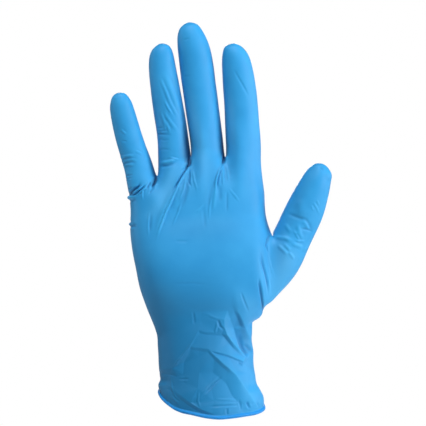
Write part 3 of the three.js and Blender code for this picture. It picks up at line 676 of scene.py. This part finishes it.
# Half widths in pixels up to which a fold is narrow, or counts in the colours. Rounds of refining: widest
# fold, reach for each millimetre of its half width and beyond it, and reach of a crease. Points are refined
# where they face the fold's side by this much.
NARROW = 1.2
BROAD = 3
REFINEMENTS = [(BROAD, 1.6, 0.3, 0.9), (NARROW, 0.8, 0.1, 0.42)]
REFINED_FROM = -0.05

# Low waves of the whole film: height and lengths in millimetres, and a shift of the noise
WAVES = [(0.28, (17, 17, 21), (0, 3, 0)), (0.07, (6, 6, 8), (9, 0, 0))]

# Waves of the rim's front: middle and half width in pixels, and millimetres up. They die out up the cuff
# and towards the back over these lengths.
RIM_WAVES = [(174, 15, -1.6), (240, 17, 1.2)]
RIM_WAVE_REACH = 24
RIM_WAVE_BLEND = 16

# How far round each of its points the inner side keeps below the folds
INNER_SPAN = 1.6


def smoothstep(value):
    value = np.clip(value, 0, 1)
    return value * value * (3 - 2 * value)


def in_millimetres(point):
    scale = PIXEL * (1 - FRONT_DEPTH / (1000 * CAMERA_DISTANCE))
    x = 1000 * CENTRE[0] + (point[0] - FRAME_MIDDLE) * scale
    return np.array((x, 1000 * CENTRE[1] - (point[1] - FRAME_MIDDLE) * scale))


# The distance of points from a line, their side of it and their place along it, seen from the front
def along_line(seen, line):
    lengths = [np.linalg.norm(b - a) for a, b in zip(line, line[1:])]
    best = np.full(len(seen), np.inf)
    side = np.zeros(len(seen))
    share = np.zeros(len(seen))
    before = 0
    for a, b, length in zip(line, line[1:], lengths):
        way = (b - a) / length
        offset = seen - a
        t = np.clip(offset @ way, 0, length)
        nearest = offset - t[:, None] * way
        distance = np.linalg.norm(nearest, axis=1)
        closer = distance < best
        best = np.where(closer, distance, best)
        signed = np.sign(way[0] * nearest[:, 1] - way[1] * nearest[:, 0])
        side = np.where(closer, signed, side)
        share = np.where(closer, (before + t) / sum(lengths), share)
        before += length
    return best, side, share


# Which of the points that count lie in the box of a line and its reach
def in_reach(seen, line, reach, counts):
    low = np.min(line, axis=0) - reach
    top = np.max(line, axis=0) + reach
    return np.flatnonzero(counts & ((seen > low) & (seen < top)).all(axis=1))


# A fold's height across its line, as a share, at a number of half widths from it
def profile(across, wide, run):
    crest = np.exp(-across * across)
    if run is None:
        return crest
    if run == 0:
        return crest - BEND_DEPTH * np.exp(-((np.abs(across) - BEND_PLACE) ** 2) / BEND_SPREAD)
    across = across * math.copysign(1, run)
    slope = np.clip(1 - across * wide / abs(run), 0, 1)
    return np.where(across < 0, crest, slope * slope * (1 + LONG_SIDE_FULLNESS * (1 - slope)))


# The triangles between the creases, with a height at each corner
def crease_triangles(lines):
    places = {}
    edges = []
    for line in lines:
        indices = [places.setdefault(point, len(places)) for point in line]
        edges += list(zip(indices, indices[1:]))
    flat = [Vector(in_millimetres(point)) for point in places]
    corners, _, triangles, origins, _, _ = delaunay_2d_cdt(flat, edges, [], 0, 1e-4)
    known = [point[2] for point in places]
    heights = [known[origin[0]] if origin else 0 for origin in origins]
    return np.array([tuple(c) for c in corners]), np.array(heights), triangles


def crease_height(seen, net):
    corners, heights, triangles = net
    result = np.zeros(len(seen))
    for triangle in triangles:
        a, b, c = corners[triangle]
        across, along = b - a, c - a
        area = across[0] * along[1] - across[1] * along[0]
        offset = seen - a
        u = (offset[:, 0] * along[1] - offset[:, 1] * along[0]) / area
        v = (across[0] * offset[:, 1] - across[1] * offset[:, 0]) / area
        inside = (u >= 0) & (v >= 0) & (u + v <= 1)
        ha, hb, hc = heights[triangle]
        result = np.where(inside, ha + u * (hb - ha) + v * (hc - ha), result)
    return result


# The crumpled cuff's height, with its creases rounded
def crumple_height(position, normal, radius):
    seen = position[:, [0, 2]]
    net = crease_triangles(OUTSIDE + CREASES)
    around = [(0, 0), (radius, 0), (-radius, 0), (0, radius), (0, -radius)]
    height = sum(crease_height(seen + offset, net) for offset in around) / len(around)
    facing = np.clip((-normal[:, 1] - CREASES_FROM) / CREASES_BLEND, 0, 1)
    return facing * CREASE_LIFT * height


def folds_facing(normal):
    sideways = np.abs(normal[:, 0]) - SIDEWAYS
    return ((FOLDS, -normal[:, 1]), (BACK_FOLDS, normal[:, 1]), (SIDE_FOLDS, sideways))


def fold_height(position, normal, widest):
    seen = position[:, [0, 2]]
    height = np.zeros(len(position))
    for table, facing in folds_facing(normal):
        weight = smoothstep((facing - FOLDS_FROM) / FOLDS_BLEND)
        for wide, run, high, line, *only in table:
            if wide > widest:
                continue
            line = [in_millimetres(point) for point in line]
            reach = max(FOLD_REACH * wide, abs(run or 0)) * PIXEL
            near = in_reach(seen, line, reach, weight > 0)
            distance, side, share = along_line(seen[near], line)
            fade = np.ones(len(near))
            if only != ["end"]:
                fade *= np.clip(share / START_FADE, 0, 1)
            if only != ["start"]:
                fade *= np.clip((1 - share) / END_FADE, 0, 1)
            across = side * distance / (wide * PIXEL)
            height[near] += weight[near] * smoothstep(fade) * high * profile(across, wide, run)
    return height


# Which points lie near folds up to a width, or near creases
def near_folds(position, normal, widest, share, beyond, crease_reach):
    seen = position[:, [0, 2]]
    lines = [(line, crease_reach, -normal[:, 1]) for line in CREASES]
    for table, facing in folds_facing(normal):
        for wide, _, _, line, *_ in table:
            if wide <= widest:
                lines.append((line, wide * PIXEL * share + beyond, facing))
    result = np.zeros(len(seen), bool)
    for line, reach, facing in lines:
        line = [in_millimetres(point) for point in line]
        near = in_reach(seen, line, reach, facing > REFINED_FROM)
        result[near] |= along_line(seen[near], line)[0] < reach
    return result


def wave_height(position):
    height = np.zeros(len(position))
    for high, lengths, shift in WAVES:
        places = position / lengths + shift
        height += high * np.array([noise.noise(Vector(place)) for place in places])
    return height


# The rim's front isn't level: it hangs lower on the left and is drawn up on the right
def wave_rim(surface):
    for vertex in surface.verts:
        x, y, z = (1000 * c for c in vertex.co)
        forward = min(1, max(0, 0.5 - y / RIM_WAVE_BLEND))
        reach = forward * max(0, 1 - max(0, z) / RIM_WAVE_REACH) ** 2
        for middle, half, up in RIM_WAVES:
            away = (x - in_millimetres((middle, 0))[0]) / (half * PIXEL)
            vertex.co.z += up * reach * math.exp(-away * away) / 1000


def arrays(surface):
    surface.normal_update()
    surface.verts.index_update()
    position = np.array([v.co for v in surface.verts]) * 1000
    normal = np.array([v.normal for v in surface.verts])
    return position, normal


def corners_of(surface):
    return [tuple(v.index for v in face.verts) for face in surface.faces]


# Divides the faces near folds, apart from those at the rim
def refine(surface, rim, reaches):
    position, normal = arrays(surface)
    chosen = near_folds(position, normal, *reaches)
    divided = set()
    for face, corners in zip(surface.faces, corners_of(surface)):
        if chosen[list(corners)].any() and not rim.intersection(corners):
            divided.add(face)
    edges = [edge for edge in surface.edges if divided.intersection(edge.link_faces)]
    bmesh.ops.subdivide_edges(surface, edges=edges, cuts=1, use_grid_fill=True)


def tree_of(places):
    tree = KDTree(len(places))
    for i, place in places.items():
        tree.insert(place, i)
    tree.balance()
    return tree


# The rim: its edges on the outer side, and the inner side's point at each of its points
rim_edges = []
for edge in outer_surface.edges:
    if edge.is_boundary:
        loop = edge.link_loops[0]
        rim_edges.append((loop.vert.index, loop.link_loop_next.vert.index))
rim = {i for edge in rim_edges for i in edge}
boundary = [edge for edge in inner_surface.edges if edge.is_boundary]
bmesh.ops.subdivide_edges(inner_surface, edges=boundary, cuts=1)
inner_surface.verts.index_update()
outer_surface.verts.ensure_lookup_table()
rim_tree = tree_of({i: outer_surface.verts[i].co for i in rim})
inner_rim = {}
for vertex in inner_surface.verts:
    if vertex.is_boundary:
        _, i, _ = rim_tree.find(vertex.co)
        vertex.co = outer_surface.verts[i].co
        inner_rim[i] = vertex.index
wave_rim(outer_surface)
wave_rim(inner_surface)

# The outer side is finer near the folds, and finer again along the narrow ones
for reaches in REFINEMENTS:
    refine(outer_surface, rim, reaches)
outer_position, outer_normal = arrays(outer_surface)
outer_faces = corners_of(outer_surface)
inner_position, inner_normal = arrays(inner_surface)
inner_faces = corners_of(inner_surface)
outer_surface.free()
inner_surface.free()

# The relief is what rises above or falls below the broad forms, and counts in the colours alone, as painted
# shade in the valleys and painted light on the crests
narrow_folds = fold_height(outer_position, outer_normal, BROAD)
crumple = crumple_height(outer_position, outer_normal, ROUNDING)
outer_relief = narrow_folds + crumple - crumple_height(outer_position, outer_normal, BROAD_ROUNDING)
outer_height = fold_height(outer_position, outer_normal, math.inf) + crumple
outer = outer_position + outer_normal * (outer_height + wave_height(outer_position))[:, None]

# The inner side keeps below the deepest fold near each of its points
outer_tree = tree_of(dict(enumerate(outer_position)))
inner_height = wave_height(inner_position) - FILM
for i, point in enumerate(inner_position):
    inner_height[i] += min(outer_height[j] for _, j, _ in outer_tree.find_range(point, INNER_SPAN))
inner = inner_position + inner_normal * inner_height[:, None]

# The rolled edge, in degrees from the outer side round to the inner one. Its radius varies by a share.
BEAD_ANGLES = [75, 55, 35, 15, -5, -25, -45, -65, -85, -105, -125, -145, -165]
BEAD_UNEVENNESS = 0.1
BEAD_NOISE = 3

vertices = [tuple(p) for p in outer / 1000]
inner_start = len(vertices)
vertices += [tuple(p) for p in inner / 1000]
all_faces = outer_faces + [tuple(i + inner_start for i in reversed(face)) for face in inner_faces]
chains = {}
for i in sorted(rim):
    inside = inner[inner_rim[i]]
    outwards = outer[i] - inside
    outwards[2] = 0
    outwards /= np.linalg.norm(outwards)
    turn = math.atan2(inside[1], inside[0])
    place = Vector((BEAD_NOISE * math.cos(turn), BEAD_NOISE * math.sin(turn), 0))
    radius = BEAD_RADIUS * (1 + BEAD_UNEVENNESS * noise.noise(place))
    up = np.array((0, 0, 1))
    centre = inside + outwards * radius - up * radius
    chain = [i]
    for degrees in BEAD_ANGLES:
        angle = math.radians(degrees)
        point = centre + radius * (outwards * math.cos(angle) + up * math.sin(angle))
        chain.append(len(vertices))
        vertices.append(tuple(point / 1000))
    chains[i] = chain + [inner_start + inner_rim[i]]
for a, b in rim_edges:
    start, end = chains[b], chains[a]
    for i in range(len(start) - 1):
        all_faces.append((start[i], end[i], end[i + 1], start[i + 1]))

mesh = bpy.data.meshes.new("glove_film")
mesh.from_pydata(vertices, [], all_faces)
mesh.shade_smooth()

# Painted shade where shade falls: lines of (x, y, radius, share), first between the fingers, on the sides
# that face right and lie in the next finger's shadow, then in the creases of the front and over its broad,
# barely darker areas
PAINTED_SHADE_BETWEEN_FINGERS = [
    [(171.5, 62, 2, 0.1), (175.5, 80, 2.5, 0.2), (180.5, 103, 1.5, 0.25), (184, 122, 2.4, 0.6),
     (187, 142, 4.6, 0.95), (189, 157, 5.6, 1), (189, 163, 3.4, 1), (187, 168, 1.2, 0.4)],
    [(216.5, 100, 1, 0.2), (220, 126, 2.6, 0.6), (223, 147, 4, 1), (224.3, 158, 3.2, 1),
     (222, 165, 1.2, 0.4)],
    [(147, 150, 1.6, 0.3), (152.5, 167, 3, 0.7), (156.5, 177, 3.8, 1), (153, 185, 1.6, 0.6)],
    [(264, 205, 1.6, 0.1), (267, 222, 2.6, 0.35), (269, 236, 2.4, 0.4), (266, 243, 1, 0.2)],
]
PAINTED_CREASE_SHADE = [
    [(129, 194, 0.9, 0.3), (133.4, 190.2, 0.7, 0.3), (138, 187, 0.5, 0.2), (142, 183.6, 0.4, 0)],
    [(123, 158.8, 1, 0.2), (130, 157.4, 0.8, 0.15), (136, 158.8, 0.5, 0)],
    [(124, 163, 1, 0.2), (131, 161.5, 0.8, 0.15), (137, 161.4, 0.5, 0)],
    [(188.6, 166, 0.8, 0.45), (183, 173.6, 0.5, 0.3), (178, 182, 0.4, 0.2), (174.6, 188.6, 0.3, 0)],
    [(223.4, 164, 0.7, 0.4), (221, 168, 0.5, 0.25), (218.6, 175, 0.4, 0.15), (217.2, 182, 0.3, 0)],
    [(156, 179, 1.1, 0.5), (153, 185, 0.6, 0.35), (151, 189, 0.4, 0)],
    [(289, 213.6, 0.8, 0), (297, 215.8, 1.2, 0.12), (305, 218, 1.2, 0.15), (310, 222, 0.8, 0)],
    [(274, 239.6, 0.8, 0), (281, 240, 1.2, 0.12), (286, 240.4, 1.2, 0.14), (292, 243, 0.8, 0)],
    [(260.4, 293, 0.5, 0), (262, 301, 0.8, 0.2), (263.6, 309, 0.8, 0.25)],
    [(137, 215, 5, 0.05), (142, 240, 7, 0.12), (149, 275, 7, 0.13), (157, 305, 7, 0.12),
     (165, 335, 6, 0.13), (172, 360, 6, 0.13), (178, 385, 7, 0.1)],
    [(176, 230, 9, 0.06), (200, 230, 16, 0.09), (222, 226, 12, 0.06)],
    [(292, 190, 5, 0.04), (299, 204, 6, 0.13), (303, 215, 4, 0.05)],
    [(191, 166, 3, 0.05), (187, 178, 4, 0.12), (182, 192, 4.5, 0.14), (179, 208, 4.5, 0.05)],
    [(225, 160, 3, 0.05), (227, 172, 4.5, 0.12), (220, 186, 4, 0.06)],
    [(237, 314, 2, 0.05), (241, 326, 3, 0.22), (245, 339, 3, 0.28), (249, 350, 3, 0.15),
     (252, 358, 2, 0)],
    [(290, 200, 6, 0.04), (300, 212, 9, 0.1), (296, 222, 6, 0.04)],
]

# Paler where the film is stretched, and painted light where light from the right falls on the ball of the
# thumb and light bounced between the fingers falls on their sides: lines as above
STRETCHED_AND_PAINTED_LIGHT = [
    [(277, 244, 7, 0.3), (284, 262, 12, 0.75), (278, 282, 9, 0.5), (268, 302, 6, 0.2)],
    [(240, 296, 6, 0.15), (250, 304, 7, 0.3), (248, 318, 5, 0.25)],
    [(174, 168, 4, 0.15), (169, 186, 5.5, 0.45), (160, 204, 6.5, 0.35), (150, 216, 5, 0.2)],
    [(188, 90, 4, 0.15), (194, 120, 6, 0.4), (200, 142, 6, 0.35), (206, 168, 5, 0.25),
     (206, 200, 5, 0.1)],
    [(228, 90, 3, 0.1), (230, 110, 4.5, 0.4), (232, 138, 4.5, 0.35), (234, 158, 4, 0)],
    [(156, 96, 3, 0.1), (158, 122, 4.5, 0.4), (160, 146, 4, 0.3)],
]

# Painted shade for the weaker light on the heel and the cuff: it grows from this row of the frame down over
# this height, and from this column to the left over this width. The bead has this much of it all round.
SHADE_TOP = 236
SHADE_HEIGHT = 100
SHADE_RIGHT = 258
SHADE_WIDTH = 60
BEAD_SHADE_SHARE = 0.6

# How fast the front's painted shade and light die out towards the sides, and the painted shade between
# the fingers towards the left, and how much of that shade shows on what faces neither left nor right
FRONT_GAIN = 2.5
RIGHT_GAIN = 1.2
NEITHER_SIDE = 0.85


# Painted shade, darker towards the bottom and the left of the frame
def shade_low_left_share(position):
    right = FRAME_MIDDLE + (position[:, 0] - 1000 * CENTRE[0]) / PIXEL
    down = FRAME_MIDDLE - (position[:, 2] - 1000 * CENTRE[1]) / PIXEL
    falling = smoothstep((down - SHADE_TOP) / SHADE_HEIGHT)
    return falling * smoothstep((SHADE_RIGHT - right) / SHADE_WIDTH)


# How far points lie in the areas of a table
def area_share(position, table):
    seen = position[:, [0, 2]]
    result = np.zeros(len(seen))
    for area in table:
        line = [in_millimetres(point) for point in area]
        distance, _, along = along_line(seen, line)
        lengths = [0, *np.cumsum([np.linalg.norm(b - a) for a, b in zip(line, line[1:])])]
        stops = np.array(lengths) / lengths[-1]
        radius = np.interp(along, stops, [point[2] for point in area]) * PIXEL
        share = np.interp(along, stops, [point[3] for point in area])
        result = np.maximum(result, share * np.exp(-((distance / radius) ** 2)))
    return result


# Keeps one value for each point of the mesh, 0 on the inner side
def save_values(name, outer_values, bead_value):
    values = np.zeros(len(vertices), np.float32)
    values[: len(outer)] = outer_values
    values[inner_start + len(inner) :] = bead_value
    mesh.attributes.new(name, "FLOAT", "POINT").data.foreach_set("value", values)


facing_right = np.clip(NEITHER_SIDE + RIGHT_GAIN * outer_normal[:, 0], 0, 1)
facing_front = np.clip(-FRONT_GAIN * outer_normal[:, 1], 0, 1)
# Painted shade between the fingers, on the sides that face right, and in the front's creases
shade_between_fingers = area_share(outer_position, PAINTED_SHADE_BETWEEN_FINGERS) * facing_right
shade_in_creases = area_share(outer_position, PAINTED_CREASE_SHADE) * facing_front
save_values("relief", outer_relief, 0)
# Painted shade towards the cuff's lower left
save_values("shade_low_left", shade_low_left_share(outer_position), BEAD_SHADE_SHARE)
save_values("hollow", np.maximum(shade_between_fingers, shade_in_creases), 0)
save_values("bead", 0, 1)
# Paler stretched film, and painted light
save_values("stretch_and_painted_light", area_share(outer_position, STRETCHED_AND_PAINTED_LIGHT) * facing_front, 0)

glove = add_object("glove_film", mesh)
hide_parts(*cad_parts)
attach(glove, "root")


def add_node(tree, kind, values=()):
    node = tree.nodes.new(kind)
    for socket, value in dict(values).items():
        node.inputs[socket].default_value = value
    return node


# Blue nitrile: satin and mottled, with painted shade in the valleys, towards the cuff's lower left, between
# the fingers and in the creases, and painted light on the crests and over the stretched areas, where the
# film is also paler
material = bpy.data.materials.new("nitrile")
material.use_nodes = True
tree = material.node_tree
link = tree.links.new
shader = tree.nodes["Principled BSDF"]
shader.inputs["Specular IOR Level"].default_value = 0.34
shader.inputs["Sheen Weight"].default_value = 0.15
shader.inputs["Sheen Roughness"].default_value = 0.35

place = tree.nodes.new("ShaderNodeTexCoord")
mottle = add_node(tree, "ShaderNodeTexNoise", {"Scale": 60, "Detail": 3})
link(place.outputs["Object"], mottle.inputs["Vector"])
tint = tree.nodes.new("ShaderNodeValToRGB")
tint.color_ramp.elements[0].position = 0.3
tint.color_ramp.elements[0].color = (0.019, 0.286, 0.632, 1)
tint.color_ramp.elements[1].position = 0.7
tint.color_ramp.elements[1].color = (0.027, 0.321, 0.677, 1)
link(mottle.outputs["Fac"], tint.inputs["Fac"])

# Painted shade in the folds' valleys and painted light on their crests
relief = tree.nodes.new("ShaderNodeAttribute")
relief.attribute_name = "relief"
shade = add_node(tree, "ShaderNodeMapRange", {"From Min": -1, "From Max": 1})
link(relief.outputs["Fac"], shade.inputs["Value"])
painted_fold_shading = tree.nodes.new("ShaderNodeValToRGB")
painted_fold_shading.color_ramp.elements[0].color = (0.56, 0.64, 0.71, 1)
painted_fold_shading.color_ramp.elements[1].color = (1.25, 1.17, 1.09, 1)
painted_fold_shading.color_ramp.elements.new(0.5).color = (1, 1, 1, 1)
link(shade.outputs["Result"], painted_fold_shading.inputs["Fac"])
colour = tree.nodes.new("ShaderNodeMix")
colour.data_type = "RGBA"
colour.blend_type = "MULTIPLY"
colour.inputs["Factor"].default_value = 1
link(tint.outputs["Color"], colour.inputs["A"])
link(painted_fold_shading.outputs["Color"], colour.inputs["B"])

# Towards another colour by each of the film's values: paler film with painted light, painted shade low on
# the left, the bead's own deeper colour, and painted shade in the hollows
TARGETS = [
    ("stretch_and_painted_light", (0.09, 0.432, 0.8)),
    ("shade_low_left", (0.007, 0.188, 0.424)),
    ("bead", (0.002, 0.24, 0.66)),
    ("hollow", (0, 0.035, 0.12)),
]
for value, target in TARGETS:
    share = tree.nodes.new("ShaderNodeAttribute")
    share.attribute_name = value
    blend = tree.nodes.new("ShaderNodeMix")
    blend.data_type = "RGBA"
    blend.inputs["B"].default_value = (*target, 1)
    link(share.outputs["Fac"], blend.inputs["Factor"])
    link(colour.outputs["Result"], blend.inputs["A"])
    colour = blend
link(colour.outputs["Result"], shader.inputs["Base Color"])

gloss = add_node(tree, "ShaderNodeMapRange", {"To Min": 0.5, "To Max": 0.62})
link(mottle.outputs["Fac"], gloss.inputs["Value"])
link(gloss.outputs["Result"], shader.inputs["Roughness"])

grain = add_node(tree, "ShaderNodeTexNoise", {"Scale": 900, "Detail": 4})
link(place.outputs["Object"], grain.inputs["Vector"])
bump = add_node(tree, "ShaderNodeBump", {"Strength": 0.12, "Distance": 0.0002})
link(grain.outputs["Fac"], bump.inputs["Height"])
link(bump.outputs["Normal"], shader.inputs["Normal"])
mesh.materials.append(material)


# Shows the camera one shader, while another lights the scene
def show_camera(tree, shown, lighting, output):
    path = tree.nodes.new("ShaderNodeLightPath")
    choice = tree.nodes.new("ShaderNodeMixShader")
    tree.links.new(path.outputs["Is Camera Ray"], choice.inputs["Fac"])
    tree.links.new(lighting, choice.inputs[1])
    tree.links.new(shown, choice.inputs[2])
    tree.links.new(choice.outputs["Shader"], output)


# Floor, in metres
FLOOR_HALF = 3
FLOOR_LEVEL = -0.42

floor_mesh = bpy.data.meshes.new("floor")
floor_mesh.from_pydata(
    [(x * FLOOR_HALF, y * FLOOR_HALF, FLOOR_LEVEL) for x, y in ((-1, -1), (1, -1), (1, 1), (-1, 1))],
    [],
    [(0, 1, 2, 3)],
)
floor = add_object("floor", floor_mesh)
floor_material = bpy.data.materials.new("floor")
floor_material.use_nodes = True
tree = floor_material.node_tree
matt = tree.nodes["Principled BSDF"]
matt.inputs["Base Color"].default_value = (0.95, 0.95, 0.95, 1)
matt.inputs["Roughness"].default_value = 0.8
pale = add_node(tree, "ShaderNodeEmission", {"Color": (0.9, 0.9, 0.9, 1)})
output = tree.nodes["Material Output"].inputs["Surface"]
show_camera(tree, pale.outputs["Emission"], matt.outputs["BSDF"], output)
floor_mesh.materials.append(floor_material)

# Lights: place and size in metres, and power in watts
LIGHT_TARGET = (0, 0, 0.12)
LIGHTS = [
    ("key", (0.05, -0.62, 0.98), 0.5, 10),
    ("side", (0.88, -0.47, 0.22), 0.4, 7.2),
    ("left", (-0.92, -0.53, 1.18), 0.5, 3),
    ("right", (1.1, 0.3, 0.2), 0.5, 4),
    ("far_left", (-1.1, 0.05, 0.3), 0.5, 2),
    ("back", (-0.1, 1.5, 0.5), 0.5, 16),
]
for name, place, size, power in LIGHTS:
    light_data = bpy.data.lights.new(name, "AREA")
    light_data.shape = "SQUARE"
    light_data.size = size
    light_data.energy = power
    light = add_object(name, light_data)
    light.location = place
    light.rotation_euler = (Vector(LIGHT_TARGET) - Vector(place)).to_track_quat("-Z", "Y").to_euler()

world = bpy.data.worlds.new("world")
bpy.context.scene.world = world
world.use_nodes = True
tree = world.node_tree
backdrop = tree.nodes["Background"]
backdrop.inputs["Color"].default_value = (1, 1, 1, 1)
ambient = add_node(tree, "ShaderNodeBackground", {"Color": (0.97, 0.985, 1, 1), "Strength": 0.03})
output = tree.nodes["World Output"].inputs["Surface"]
show_camera(tree, backdrop.outputs["Background"], ambient.outputs["Background"], output)

scene = bpy.context.scene
scene.view_settings.view_transform = "Standard"
scene.view_settings.look = "None"
